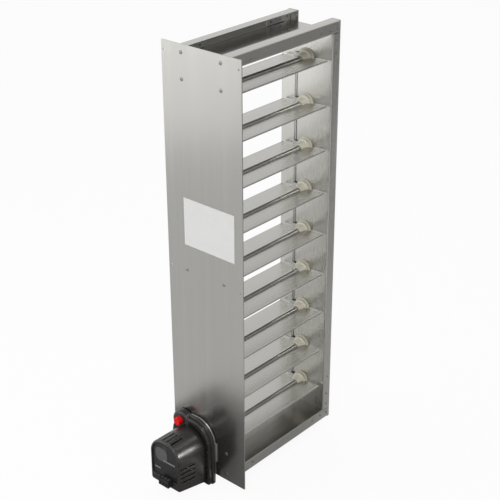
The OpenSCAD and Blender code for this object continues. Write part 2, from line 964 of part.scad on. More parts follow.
module button_spring() {
    start = ear_front + button_body_len + gap / 2 + curl_wire_r;
    rings = curl_count * curl_rings;
    points = [for (j = [0:rings]) each curl_ring(j / curl_rings)];
    sides = [
        for (j = [0:rings - 1], k = [0:curl_sides - 1])
            let (a = j * curl_sides + k, b = j * curl_sides + (k + 1) % curl_sides)
                each [[a, b, b + curl_sides], [a, b + curl_sides, a + curl_sides]]
    ];
    last = rings * curl_sides;
    ends = [
        for (k = [1:curl_sides - 2])
            each [[0, k + 1, k], [last, last + k, last + k + 1]]
    ];
    color(STEEL)
        translate([start, button_y, shaft_z + button_z])
            polyhedron(points = points, faces = concat(sides, ends));
}

// Toothed outline with straight flanks; the first tooth points along the first axis
module gear_outline(teeth) {
    step = 360 / teeth;
    root = mod * (teeth / 2 - tooth_root);
    tip = mod * (teeth / 2 + tooth_tip);
    tooth = [[root, -root_share], [tip, -tip_share], [tip, tip_share], [root, root_share]];
    polygon([
        for (k = [0:teeth - 1], p = tooth)
            p[0] * [cos((k + p[1]) * step), sin((k + p[1]) * step)]
    ]);
}

// A driver's tooth meets the gap of the gear that lies further along the train
module gear(x, t, teeth, gap_back) {
    turn = gap_back ? train_dir + 180 + 180 / teeth : train_dir;
    on_x(x, t)
        rotate(turn)
            gear_outline(teeth);
}

module at_train(d) {
    translate([0, train(d)[0], shaft_z + train(d)[1]])
        children();
}

module output_gear() {
    color(STEEL)
        at_train(0)
            difference() {
                gear(a_front, layer_a, output_teeth, false);
                rod_x_axis(a_front - cut_over, layer_a + 2 * cut_over, journal_d + 2 * run);
            }
}

module reduction_gear() {
    color("ivory")
        at_train(mesh_out)
            difference() {
                union() {
                    gear(b_front, layer_b, wheel_teeth, false);
                    gear(b_front + layer_b / 2, layer_b / 2 + layer_gap + layer_a, pinion_teeth, true);
                }
                rod_x_axis(b_front - cut_over, base_depth, post_d + 2 * run);
            }
}

module idler_gear() {
    color("ivory")
        at_train(mesh_out + mesh_in)
            difference() {
                union() {
                    gear(c_front, layer_c, wheel_teeth, false);
                    gear(c_front + layer_c / 2, layer_c / 2 + layer_gap + layer_b, pinion_teeth, true);
                    rod_x_axis(b_front, layer_b + layer_gap + layer_a, arbor_d);
                }
                rod_x_axis(c_front - cut_over, base_depth, post_d + 2 * run);
            }
}

module motor_pinion() {
    start = motor_x - motor_len + motor_end;
    color(STEEL)
        at_train(mesh_all) {
            gear(c_front, layer_c, pinion_teeth, true);
            rod_x_axis(start, c_front + layer_c - start, motor_shaft_d);
        }
}

module motor() {
    color("silver")
        at_train(mesh_all)
            difference() {
                union() {
                    rod_x_axis(motor_x - motor_len, motor_len, motor_d, 72);
                    rod_x_axis(motor_x, motor_boss_len, motor_boss_d);
                }
                rod_x_axis(motor_x - motor_len + motor_end, motor_len, motor_shaft_d + 2 * run, 32);
            }
}

// Flat spiral strip round the idler's arbor: the radius grows evenly with the turn
function spiral_point(j, r) = -r * [cos(360 * j / spring_steps), sin(360 * j / spring_steps)];
module return_spring() {
    steps = spring_turns * spring_steps;
    growth = (spring_out_r - spring_in_r) / steps;
    color([0.3, 0.32, 0.36])
        at_train(mesh_out + mesh_in)
            on_x(spring_x, spring_h)
                polygon(concat(
                    [for (j = [0:steps]) spiral_point(j, spring_in_r + growth * j)],
                    [for (j = [steps:-1:0]) spiral_point(j, spring_in_r + growth * j - spring_strip)]
                ));
}

module circuit_board() {
    x = nose_x + board_x;
    low = shaft_z + nose_low + board_up;
    color("darkgreen")
        translate([x, nose_y - board_w / 2, low])
            cube([board_t, board_w, board_h]);
    color("dimgray")
        translate([x + board_t, nose_y, low + board_h - 2 * relay_size])
            cube([relay_size, relay_size, relay_size]);
    color("black")
        translate([0, nose_y - relay_size, low + board_h - relay_size])
            rod_x_axis(x + board_t, cap_can_len, cap_can_d);
}

// Carries children to the foot of each way of the terminal block
module at_ways() {
    for (k = [0:block_ways - 1])
        translate([0, block_mid + (k - (block_ways - 1) / 2) * block_pitch, shaft_z + block_low])
            children();
}

module terminal_block() {
    front = nose_x - block_len;
    color("black")
        difference() {
            translate([0, 0, shaft_z]) {
                translate([front, block_side, block_low])
                    cube([block_len, block_w, block_h]);
                block_window(nose_x - block_wall, board_x + block_wall, 0);
            }
            at_ways() {
                translate([front + block_len / 2, 0, block_h - block_screw_h])
                    cylinder(h = block_screw_h + cut_over, d = block_screw_d + 2 * fit, $fn = 24);
                translate([0, 0, wire_hole_z])
                    rod_x_axis(front - cut_over, block_len / 2, block_screw_d);
            }
        }
}

module terminal_screws() {
    head = block_screw_h - gap;
    color(STEEL)
        at_ways()
            translate([nose_x - block_len / 2, 0, block_h - block_screw_h])
                difference() {
                    cylinder(h = head, d = block_screw_d, $fn = 24);
                    translate([-block_screw_d, -slot_w / 2, head - slot_w])
                        cube([2 * block_screw_d, slot_w, 2 * slot_w]);
                }
}

module base_screws() {
    shank_x = base_front - base_screw_head_h / 2;
    color(STEEL)
        translate([0, 0, shaft_z])
            for (p = base_screws_at)
                translate([0, p[0], p[1]]) {
                    rod_x_axis(base_front - base_screw_head_h, base_screw_head_h, base_screw_head_d);
                    rod_x_axis(shank_x, -shank_x, base_screw_d);
                }
}

module housing_screws() {
    floor_x = base_front + front_wall;
    shank_x = base_front - case_screw_len / 2;
    color(STEEL)
        translate([0, 0, shaft_z])
            for (p = case_screws_at)
                translate([0, p[0], p[1]]) {
                    rod_x_axis(floor_x, case_screw_head_h, case_screw_head_d);
                    rod_x_axis(shank_x, floor_x + case_screw_head_h / 2 - shank_x, case_screw_d);
                }
}

mounting_plate();
left_jamb();
right_jamb();
top_channel();
bottom_channel();
corner_gussets();
frame_rivets();
plate_rivets();
plate_label();
left_bushes();
right_bushes();
for (i = [1:blade_count]) {
    blade(i);
    bearing_caps(i);
    crank(i);
}
link_rod();
drive_shaft();
actuator_bracket();
actuator_base();
actuator_housing();
front_panel();
release_button();
button_spring();
motor();
motor_pinion();
idler_gear();
reduction_gear();
output_gear();
return_spring();
circuit_board();
terminal_block();
terminal_screws();
base_screws();
housing_screws();
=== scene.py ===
import json
import math

import bmesh
import bpy
import numpy as np
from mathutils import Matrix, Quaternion, Vector


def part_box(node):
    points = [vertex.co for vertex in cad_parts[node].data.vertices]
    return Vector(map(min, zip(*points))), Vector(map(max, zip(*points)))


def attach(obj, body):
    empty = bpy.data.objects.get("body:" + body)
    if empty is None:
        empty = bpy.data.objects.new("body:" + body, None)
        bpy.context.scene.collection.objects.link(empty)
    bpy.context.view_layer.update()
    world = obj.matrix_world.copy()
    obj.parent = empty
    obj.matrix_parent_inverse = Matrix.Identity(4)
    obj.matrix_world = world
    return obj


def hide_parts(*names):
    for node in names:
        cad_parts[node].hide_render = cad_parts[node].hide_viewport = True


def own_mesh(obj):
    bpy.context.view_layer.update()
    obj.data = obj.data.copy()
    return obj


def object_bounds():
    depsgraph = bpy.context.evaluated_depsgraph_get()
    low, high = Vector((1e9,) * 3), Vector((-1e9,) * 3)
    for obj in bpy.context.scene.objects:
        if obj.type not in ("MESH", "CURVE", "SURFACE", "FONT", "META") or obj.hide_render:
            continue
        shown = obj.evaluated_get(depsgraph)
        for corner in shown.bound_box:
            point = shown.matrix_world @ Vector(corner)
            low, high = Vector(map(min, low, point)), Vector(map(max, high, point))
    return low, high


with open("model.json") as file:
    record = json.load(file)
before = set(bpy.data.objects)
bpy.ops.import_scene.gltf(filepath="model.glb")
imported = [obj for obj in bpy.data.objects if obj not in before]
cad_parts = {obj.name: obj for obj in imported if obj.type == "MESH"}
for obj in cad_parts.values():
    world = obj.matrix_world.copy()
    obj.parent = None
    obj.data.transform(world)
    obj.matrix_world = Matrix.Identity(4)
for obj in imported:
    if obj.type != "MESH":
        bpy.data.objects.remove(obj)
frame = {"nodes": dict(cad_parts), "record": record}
cad_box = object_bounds()
mm = 0.001


# Camera: stands left of the mounting plate and above it, with the long lens that the nearly
# parallel uprights call for. Its place and turn follow from the photograph's perspective.
camera_at = Vector((-1.4833, -1.4381, 1.0988))
azimuth, height, tilt = math.radians(-48.27), math.radians(26.69), math.radians(-0.24)
lens = 86.3

towards = -Vector((
    math.sin(azimuth) * math.cos(height),
    -math.cos(azimuth) * math.cos(height),
    math.sin(height),
))
camera_data = bpy.data.cameras.new("camera")
camera_data.lens = lens
camera_data.clip_end = 20
camera = bpy.data.objects.new("camera", camera_data)
bpy.context.scene.collection.objects.link(camera)
camera.rotation_mode = "QUATERNION"
camera.location = camera_at
camera.rotation_quaternion = towards.to_track_quat("-Z", "Y") @ Quaternion((0, 0, 1), tilt)
bpy.context.scene.camera = camera
bpy.context.scene.view_settings.view_transform = "Standard"


# Studio: a pale floor under a white surround, with lamps and grey cards. The floor and the
# surround look white to the camera and in reflections, while the floor still carries the
# damper's soft shadow. floor_share is how far the floor is plain white to such a ray.
floor_reach, floor_gap = 6.0, 0.5 * mm
floor_grey, floor_share = 0.95, 0.93
surround_light = 0.55


def studio_node(tree, kind, place, **settings):
    """Adds a shader node at a place in the editor and sets the values of its named sockets."""
    node = tree.nodes.new(kind)
    node.location = place
    for name, value in settings.items():
        node.inputs[name.replace("_", " ")].default_value = value
    return node


def seen_or_mirrored(tree, place):
    """1 for rays from the camera, off a glossy surface or through glass, 0 for the others."""
    path = studio_node(tree, "ShaderNodeLightPath", place)
    total = None
    for ray in ("Is Camera Ray", "Is Glossy Ray", "Is Transmission Ray"):
        if total is None:
            total = path.outputs[ray]
            continue
        add = studio_node(tree, "ShaderNodeMath", place)
        add.operation = "ADD"
        add.use_clamp = True
        tree.links.new(total, add.inputs[0])
        tree.links.new(path.outputs[ray], add.inputs[1])
        total = add.outputs[0]
    return total


floor_material = bpy.data.materials.new("pale_floor")
floor_material.use_nodes = True
tree = floor_material.node_tree
tree.nodes.clear()
matt = studio_node(tree, "ShaderNodeBsdfDiffuse", (-200, 0), Color=(floor_grey, floor_grey, floor_grey, 1))
glow = studio_node(tree, "ShaderNodeEmission", (-200, -200), Color=(1, 1, 1, 1), Strength=1.0)
blend = studio_node(tree, "ShaderNodeMixShader", (200, 0))
share = studio_node(tree, "ShaderNodeMath", (0, 200))
share.operation = "MULTIPLY"
share.inputs[1].default_value = floor_share
tree.links.new(seen_or_mirrored(tree, (-400, 200)), share.inputs[0])
tree.links.new(share.outputs[0], blend.inputs[0])
tree.links.new(matt.outputs[0], blend.inputs[1])
tree.links.new(glow.outputs[0], blend.inputs[2])
out = studio_node(tree, "ShaderNodeOutputMaterial", (400, 0))
tree.links.new(blend.outputs[0], out.inputs[0])

corners = np.array([[-1, -1], [1, -1], [1, 1], [-1, 1]]) * floor_reach
floor_mesh = bpy.data.meshes.new("floor")
floor_mesh.from_pydata([(x, y, cad_box[0].z - floor_gap) for x, y in corners], [], [(0, 1, 2, 3)])
floor = bpy.data.objects.new("floor", floor_mesh)
bpy.context.scene.collection.objects.link(floor)
floor.data.materials.append(floor_material)

world = bpy.data.worlds.new("surround")
bpy.context.scene.world = world
world.use_nodes = True
tree = world.node_tree
tree.nodes.clear()
seen = studio_node(tree, "ShaderNodeBackground", (0, -200), Color=(1, 1, 1, 1), Strength=1.0)
light = studio_node(tree, "ShaderNodeBackground", (0, 0), Color=(1, 1, 1, 1), Strength=surround_light)
blend = studio_node(tree, "ShaderNodeMixShader", (200, 0))
tree.links.new(seen_or_mirrored(tree, (-400, 200)), blend.inputs[0])
tree.links.new(light.outputs[0], blend.inputs[1])
tree.links.new(seen.outputs[0], blend.inputs[2])
out = studio_node(tree, "ShaderNodeOutputWorld", (400, 0))
tree.links.new(blend.outputs[0], out.inputs[0])


def softbox(name, place, size, power, aim=(0.15, 0, 0), beam=180):
    """A square area light at place, turned to aim, with its beam's width in degrees."""
    data = bpy.data.lights.new(name, "AREA")
    data.size = size
    data.energy = power
    data.spread = math.radians(beam)
    lamp = bpy.data.objects.new(name, data)
    bpy.context.scene.collection.objects.link(lamp)
    lamp.location = place
    lamp.visible_camera = False
    lamp.rotation_mode = "QUATERNION"
    lamp.rotation_quaternion = (Vector(aim) - Vector(place)).to_track_quat("-Z", "Y")
    return lamp


# Lamps over the camera, at the rear left for the plate, overhead, and low at the rear left.
softbox("camera_light", (-2.0, -1.5, 2.1), size=1.0, power=30)
softbox("rear_light", (-2.3, 2.2, 0.35), size=1.2, power=16)
softbox("top_light", (0.3, 0.5, 2.4), size=1.4, power=12)
softbox("low_rear_light", (-1.35, 1.5, -0.40), size=0.9, power=1.7)
# The shoulder light is for the actuator alone, so that it makes no glints on the blades' ends.
shoulder_light = softbox(
    "shoulder_light", (0.3, -0.95, -0.15), size=0.25, power=0.5, aim=(-0.05, 0.02, -0.42), beam=56,
)
actuator_lit = bpy.data.collections.new("actuator_lit")
shoulder_light.light_linking.receiver_collection = actuator_lit


def grey_card(name, grey, corners):
    """A matt grey card through four corners. The camera doesn't see it, metal reflects it."""
    material = bpy.data.materials.new(name)
    material.use_nodes = True
    tree = material.node_tree
    tree.nodes.clear()
    matt = studio_node(tree, "ShaderNodeBsdfDiffuse", (0, 0), Color=(grey, grey, grey, 1))
    out = studio_node(tree, "ShaderNodeOutputMaterial", (200, 0))
    tree.links.new(matt.outputs[0], out.inputs[0])
    mesh = bpy.data.meshes.new(name)
    mesh.from_pydata(corners, [], [(0, 1, 2, 3)])
    mesh.materials.append(material)
    card = bpy.data.objects.new(name, mesh)
    card.visible_camera = False
    bpy.context.scene.collection.objects.link(card)
    return card


# One card stands upright in front of the blades. The two that lie on the floor act on reflections only:
# they cast no shadow and light nothing, and show the metal a darker floor there, which is a painted shade
# in its reflections.
card_low, card_high = cad_box[0].z, cad_box[0].z + 2.6
card_left, card_right, card_y = -0.4, 3.2, -1.05
grey_card("front_card", 0.54, [
    (card_left, card_y, card_low), (card_right, card_y, card_low),
    (card_right, card_y, card_high), (card_left, card_y, card_high),
])
for name, grey, left, right, front, back in (
    ("near_floor_card", 0.35, -0.28, 0.0, -0.4, 0.25),
    ("right_floor_card", 0.75, 0.02, 1.6, -1.0, 0.1),
):
    card = grey_card(name, grey, [
        (left, front, card_low), (right, front, card_low), (right, back, card_low), (left, back, card_low),
    ])
    card.visible_diffuse = card.visible_shadow = False


# Mill finish aluminium: the plate, the channels and the blades are rolled or extruded metal
# with fine lines along the direction in which they left the mill, and a few dull patches.
# The scales are in features per metre.
line_scale, band_scale, patch_scale = 900.0, 60.0, 9.0
streak_share, line_depth = 0.16, 0.05 * mm


def grouped(name, **inputs):
    """A node group from its inputs' values to a shade, a roughness and a height: (tree, in, out)."""
    group = bpy.data.node_groups.new(name, "ShaderNodeTree")
    for label, value in inputs.items():
        kind = "NodeSocketVector" if isinstance(value, tuple) else "NodeSocketFloat"
        socket = group.interface.new_socket(label, in_out="INPUT", socket_type=kind)
        socket.default_value = value
    for label in ("Shade", "Roughness", "Height"):
        group.interface.new_socket(label, in_out="OUTPUT", socket_type="NodeSocketFloat")
    start = group.nodes.new("NodeGroupInput")
    end = group.nodes.new("NodeGroupOutput")
    start.location, end.location = (-900, 0), (600, 0)
    return group, start, end


def noise(tree, vector, scale, detail=3.0, rough=0.5):
    """A noise texture on a vector, with its scale in features per metre."""
    node = studio_node(tree, "ShaderNodeTexNoise", (-500, 0), Scale=scale, Detail=detail, Roughness=rough)
    tree.links.new(vector, node.inputs["Vector"])
    return node.outputs["Fac"]


def spread(tree, value, low, high, out_low, out_high):
    """Carries a value from the range low to high over to the range out_low to out_high."""
    node = studio_node(tree, "ShaderNodeMapRange", (-200, 0))
    tree.links.new(value, node.inputs["Value"])
    for place, end in (("From Min", low), ("From Max", high), ("To Min", out_low), ("To Max", out_high)):
        if isinstance(end, bpy.types.NodeSocket):
            tree.links.new(end, node.inputs[place])
        else:
            node.inputs[place].default_value = end
    return node.outputs["Result"]


def sums(tree, kind, a, b):
    """A math node on two sockets or numbers."""
    node = studio_node(tree, "ShaderNodeMath", (0, 0))
    node.operation = kind
    for socket, value in zip(node.inputs, (a, b)):
        if isinstance(value, bpy.types.NodeSocket):
            tree.links.new(value, socket)
        else:
            socket.default_value = value
    return node.outputs[0]


# The group mill_lines: stretched noise makes the lines, a broad noise the dull patches.
mill_lines, start, end = grouped(
    "mill_lines", Stretch=(1.0, 1.0, 1.0), Shade=0.04, Roughness=0.34, Patches=0.06,
)
place = mill_lines.nodes.new("ShaderNodeTexCoord").outputs["Object"]
stretched = studio_node(mill_lines, "ShaderNodeVectorMath", (-700, 0))
stretched.operation = "MULTIPLY"
mill_lines.links.new(place, stretched.inputs[0])
mill_lines.links.new(start.outputs["Stretch"], stretched.inputs[1])
fine = noise(mill_lines, stretched.outputs[0], line_scale, detail=4.0, rough=0.6)
broad = noise(mill_lines, stretched.outputs[0], band_scale, detail=2.0, rough=0.5)
cloud = noise(mill_lines, place, patch_scale, detail=3.0, rough=0.55)
half_fine = sums(mill_lines, "MULTIPLY", fine, 0.5)
half_broad = sums(mill_lines, "MULTIPLY", broad, 0.5)
lines = sums(mill_lines, "ADD", half_fine, half_broad)
dark = sums(mill_lines, "SUBTRACT", 1.0, start.outputs["Shade"])
light_end = sums(mill_lines, "ADD", 1.0, start.outputs["Shade"])
mill_lines.links.new(spread(mill_lines, lines, 0.3, 0.7, dark, light_end), end.inputs["Shade"])
patch = sums(mill_lines, "MULTIPLY", sums(mill_lines, "SUBTRACT", cloud, 0.5), start.outputs["Patches"])
streak = sums(mill_lines, "MULTIPLY", sums(mill_lines, "SUBTRACT", lines, 0.5), streak_share)
rough = sums(mill_lines, "ADD", start.outputs["Roughness"], sums(mill_lines, "ADD", patch, streak))
mill_lines.links.new(rough, end.inputs["Roughness"])
mill_lines.links.new(fine, end.inputs["Height"])


def group_node(tree, group, **values):
    """Places a node group in a material with its own values."""
    node = tree.nodes.new("ShaderNodeGroup")
    node.node_tree = group
    node.location = (-500, 0)
    for name, value in values.items():
        node.inputs[name].default_value = value
    return node


def tinted(tree, colour, shade):
    """A colour multiplied by a shade that varies over the surface."""
    node = studio_node(tree, "ShaderNodeMix", (-150, 150))
    node.data_type = "RGBA"
    node.blend_type = "MULTIPLY"
    node.inputs["Factor"].default_value = 1.0
    node.inputs[6].default_value = (*colour, 1)
    tree.links.new(shade, node.inputs[7])
    return node.outputs[2]


def new_material(name, **constants):
    """An empty material with a Principled shader whose sockets hold the given constants."""
    material = bpy.data.materials.new(name)
    material.use_nodes = True
    shader = material.node_tree.nodes["Principled BSDF"]
    for label, value in constants.items():
        shader.inputs[label.replace("_", " ")].default_value = value
    return material, material.node_tree, shader


def raised(tree, shader, height, strength, depth):
    """Feeds a height to the shader's normal through a bump of the given depth in metres."""
    bump = studio_node(tree, "ShaderNodeBump", (-150, -250), Strength=strength, Distance=depth)
    tree.links.new(height, bump.inputs["Height"])
    tree.links.new(bump.outputs["Normal"], shader.inputs["Normal"])


def finish_on(parts, colour, bump, depth, group, **values):
    """Joins a node group to a new material's shader: colour times shade, roughness, height."""
    material, tree, shader = parts
    node = group_node(tree, group, **values)
    tree.links.new(tinted(tree, colour, node.outputs["Shade"]), shader.inputs["Base Color"])
    tree.links.new(node.outputs["Roughness"], shader.inputs["Roughness"])
    raised(tree, shader, node.outputs["Height"], bump, depth)
    return material


def mill_metal(name, colour, stretch, roughness, shade=0.04, patches=0.06, bump=0.25):
    """Metal as it leaves the mill; stretch is small along the direction of the lines."""
    return finish_on(
        new_material(name, Metallic=1.0), colour, bump, line_depth,
        mill_lines, Stretch=stretch, Shade=shade, Roughness=roughness, Patches=patches,
    )


along_x, along_z, no_lines = (0.02, 1.0, 1.0), (1.0, 1.0, 0.02), (1.0, 1.0, 1.0)
plate_metal = mill_metal("plate_aluminium", (0.36, 0.356, 0.338), along_z, 0.21)
jamb_metal = mill_metal("jamb_aluminium", (0.46, 0.455, 0.43), along_z, 0.28)
rail_metal = mill_metal("rail_aluminium", (0.43, 0.425, 0.40), along_x, 0.24)
blade_metal = mill_metal("blade_aluminium", (0.44, 0.435, 0.41), along_x, 0.28)
zinc = mill_metal(
    "zinc_plated_steel", (0.45, 0.45, 0.45), no_lines, 0.34, shade=0.06, patches=0.1, bump=0.1,
)


# Sheet metal of the frame: plate, two jambs, two rails, corner plates and the actuator's
# bracket are cut and bent sheet or extrusion. Their burred edges are broken by a small
# rounding, which catches a line of light.
weld_within = 0.002 * mm
same_plane = math.radians(0.8)
sharp_from = 35.0
edge_width, jamb_edge, gusset_edge = 0.35 * mm, 0.8 * mm, 0.2 * mm


def piece_of(mesh, name, material, body, smooth_angle):
    """An object in one material that rides on a body, smooth up to an angle in degrees."""
    mesh.materials.clear()
    mesh.materials.append(material)
    mesh.polygons.foreach_set("use_smooth", np.ones(len(mesh.polygons), bool))
    mesh.set_sharp_from_angle(angle=math.radians(smooth_angle))
    piece = bpy.data.objects.new(name, mesh)
    bpy.context.scene.collection.objects.link(piece)
    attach(piece, body)
    return piece


def eased(node, name, width, material, body="frame"):
    """A copy of a CAD node with its triangles joined and its sharp edges rounded by width."""
    mesh = frame["nodes"][node].data.copy()
    mesh.name = name
    work = bmesh.new()
    work.from_mesh(mesh)
    bmesh.ops.remove_doubles(work, verts=work.verts, dist=weld_within)
    bmesh.ops.dissolve_limit(work, angle_limit=same_plane, verts=work.verts, edges=work.edges)
    work.to_mesh(mesh)
    work.free()
    piece = piece_of(mesh, name, material, body, sharp_from)
    edge = piece.modifiers.new("broken_edge", "BEVEL")
    edge.width, edge.segments, edge.limit_method = width, 2, "ANGLE"
    edge.angle_limit = math.radians(sharp_from)
    edge.harden_normals = True
    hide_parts(node)
    return piece


eased("mounting_plate", "plate", edge_width, plate_metal)
eased("left_jamb", "near_jamb", jamb_edge, jamb_metal)
eased("right_jamb", "far_jamb", jamb_edge, jamb_metal)
eased("top_channel", "top_rail", edge_width, rail_metal)
eased("bottom_channel", "bottom_rail", edge_width, rail_metal)
eased("corner_gussets", "corner_plates", gusset_edge, zinc)
bright_steel = mill_metal("bright_steel", (0.78, 0.78, 0.78), no_lines, 0.42, patches=0.1, bump=0.1)
eased("actuator_bracket", "bracket", edge_width, bright_steel)


# Blades: nine aluminium extrusions. Each has a round rib along its axis, two thin wings and a
# bead along each edge, and turns on the caps at its ends. The caps close the rib's bore, so
# that the bore is left out here.
blade_numbers, driven_blade = range(1, 10), 9
blade_tilt = math.radians(4.5)
wing, rib, bead, chord = 1.8 * mm, 13 * mm, 3 * mm, 114 * mm
end_break, end_inset = 0.3 * mm, 0.2 * mm
same_point = 0.001 * mm


def mesh_piece(name, points, faces, material, body, smooth_angle=30.0):
    """A piece made from arrays of points and faces, with all faces turned outwards."""
    mesh = bpy.data.meshes.new(name)
    mesh.from_pydata(np.asarray(points).reshape(-1, 3).tolist(), [], faces)
    work = bmesh.new()
    work.from_mesh(mesh)
    bmesh.ops.remove_doubles(work, verts=work.verts, dist=same_point)
    bmesh.ops.recalc_face_normals(work, faces=work.faces)
    work.to_mesh(mesh)
    work.free()
    return piece_of(mesh, name, material, body, smooth_angle)


def strip_faces(rows, columns, wrap_rows=False):
    """Quads of a grid whose columns close on themselves; the rows close too if asked."""
    row = np.arange(rows if wrap_rows else rows - 1)[:, None]
    column = np.arange(columns)[None, :]
    after = (column + 1) % columns
    below = (row + 1) % rows
    quads = np.stack([
        row * columns + column, row * columns + after,
        below * columns + after, below * columns + column,
    ], axis=-1)
    return quads.reshape(-1, 4).tolist()


def smooth_top(a, b, blend_width):
    """The larger of two heights, with the corner between them filled in: a soft maximum."""
    return 0.5 * (a + b + np.sqrt((a - b) ** 2 + blend_width ** 2))


def blade_profile():
    """Outline of a blade's section as (y, z) pairs, counter clockwise.

    The half thickness at a distance y from the axis is the soft maximum of two heights: the
    wing's, or its bead's where that is larger, and the circle of the rib."""
    rib_root, blend_width = 2 * mm, 0.25 * mm
    shaved, thinnest, blunt = 0.03 * mm, 0.02 * mm, 0.2 * mm
    side = chord / 2 - 1e-6
    turn = np.linspace(0, np.pi / 2, 9)
    edge = side - bead / 2 + bead / 2 * np.sin(turn)
    mid = np.linspace(rib / 2 + rib_root, side - bead, 40)
    core = rib / 2 * np.sin(np.linspace(0, np.pi / 2, 14))
    root = np.linspace(rib / 2, rib / 2 + rib_root, 5)
    half = np.unique(np.concatenate([core, root, mid, edge]))
    y = np.concatenate([-half[:0:-1], half])
    circle = np.sqrt(np.clip((rib / 2) ** 2 - y ** 2, 0, None))
    from_edge = np.abs(y) - (side - bead / 2)
    tip = np.sqrt(np.clip((bead / 2) ** 2 - from_edge ** 2, 0, None)) * (np.abs(from_edge) < bead / 2)
    flat = np.where(np.abs(y) > side - blunt, 0, wing / 2)
    z = smooth_top(np.maximum(flat, tip), circle, blend_width) - shaved
    z = np.where(np.abs(y) > side - 1e-9, thinnest, np.maximum(z, thinnest))
    upper = np.stack([y, z], axis=-1)
    lower = np.stack([y, -z], axis=-1)
    return np.concatenate([lower, upper[::-1]])


def swept_along_x(profile, stations, insets):
    """Carries a closed (y, z) outline along x; insets draw it in near the ends."""
    scale = 1 - insets[:, None, None] / np.array([chord, rib])[None, None, :]
    ring = profile[None, :, :] * scale
    x = np.broadcast_to(stations[:, None, None], (len(stations), len(profile), 1))
    return np.concatenate([x, ring], axis=-1)


def on_blade_axis(points, centre):
    """Turns points by the open blade's tilt about x and moves them to the blade's axis."""
    c, s = math.cos(blade_tilt), -math.sin(blade_tilt)
    turn = np.array([[1, 0, 0], [0, c, -s], [0, s, c]])
    return points.reshape(-1, 3) @ turn.T + np.array(centre)


def body_of_node(node):
    """Name of the CAD body that lists a node."""
    return next(b for b, nodes in frame["record"]["behaviour"]["bodies"].items() if node in nodes)


section = blade_profile()
for i in blade_numbers:
    low, high = (np.array(corner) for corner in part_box(f"blade_{i}"))
    centre = (0, 0, (low[2] + high[2]) / 2)
    stations = np.array([low[0], low[0] + end_break, high[0] - end_break, high[0]])
    rings = swept_along_x(section, stations, np.array([end_inset, 0, 0, end_inset]))
    count = len(section)
    faces = strip_faces(len(stations), count)
    faces.append(list(range(count))[::-1])
    faces.append([k + (len(stations) - 1) * count for k in range(count)])
    blade = mesh_piece(
        f"blade_{i}_extrusion", on_blade_axis(rings, centre), faces,
        blade_metal, body_of_node(f"blade_{i}"),
    )
    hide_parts(f"blade_{i}")


# Bearing caps: moulded cream nylon, pushed on each end of a blade. A tapered barrel grips the
# rib, a disc closes the profile, and a journal runs from the disc into the jamb's bush.
disc, disc_thick = 33 * mm, 2.5 * mm
barrel, barrel_end, barrel_long = 24 * mm, 19 * mm, 14 * mm
journal, journal_long = 8 * mm, 9.3 * mm
cap_gap, running_gap = 0.1 * mm, 0.05 * mm
mottle_scale, dull_share = 35.0, 0.25


def arc(centre, radius, first, last, steps):
    """Points (x, r) on an arc between two angles in degrees."""
    turn = np.radians(np.linspace(first, last, steps))
    return np.stack([centre[0] + radius * np.cos(turn), centre[1] + radius * np.sin(turn)], axis=-1)


def turned(profile, sides=48):
    """A profile of (x, r) pairs turned about the x axis: point = (x, r cos a, r sin a)."""
    angle = np.linspace(0, 2 * np.pi, sides, endpoint=False)
    x, r = np.asarray(profile, dtype=float).T[:, :, None]
    grid = np.stack(np.broadcast_arrays(x, r * np.cos(angle), r * np.sin(angle)), axis=-1)
    return grid, strip_faces(len(x), sides)


def shifted(faces, by):
    """Faces whose corners are numbered on by a count of points."""
    return [[corner + by for corner in face] for face in faces]


def cap_profile(with_journal):
    """Section of a cap from its outer end at negative x to its open mouth on the blade.

    Without a journal it has a bore there for the drive shaft."""
    round_in, fillet, edge, chamfer = 0.7 * mm, 1.8 * mm, 0.5 * mm, 0.4 * mm
    neck, neck_round, socket_deep = 0.3 * mm, 0.6 * mm, 3 * mm
    socket_mouth, socket_end = rib / 2 + 0.3 * mm, rib / 2 + 0.2 * mm
    if with_journal:
        start = [
            (-journal_long, 0), (-journal_long, journal / 2 - chamfer),
            (-journal_long + chamfer, journal / 2), (-neck, journal / 2),
        ]
    else:
        start = [(barrel_long / 2, journal / 2 + running_gap), (0, journal / 2 + running_gap)]
    face = [(0, journal / 2 + neck_round), (0, disc / 2 - edge)]
    rim = arc((edge, disc / 2 - edge), edge, 180, 90, 4)
    rim_back = arc((disc_thick - round_in, disc / 2 - round_in), round_in, 90, 0, 4)
    root = arc((disc_thick + fillet, barrel / 2 + fillet), fillet, 180, 264, 6)
    mouth_x = disc_thick + barrel_long
    mouth = arc((mouth_x - round_in, barrel_end / 2 - round_in), round_in, 85, 0, 5)
    inside = [(mouth_x, socket_mouth), (mouth_x - socket_deep, socket_end), (mouth_x - socket_deep, 0)]
    if not with_journal:
        inside = [(mouth_x, socket_mouth), (barrel_long / 2, socket_end), start[0]]
    return np.concatenate([start, face, rim, rim_back, root, mouth, inside])


nylon, tree, shader = new_material(
    "cream_nylon", Metallic=0.0, Subsurface_Weight=0.12, Subsurface_Scale=2 * mm, IOR=1.5,
)
shader.inputs["Subsurface Radius"].default_value = (1.0, 0.8, 0.5)
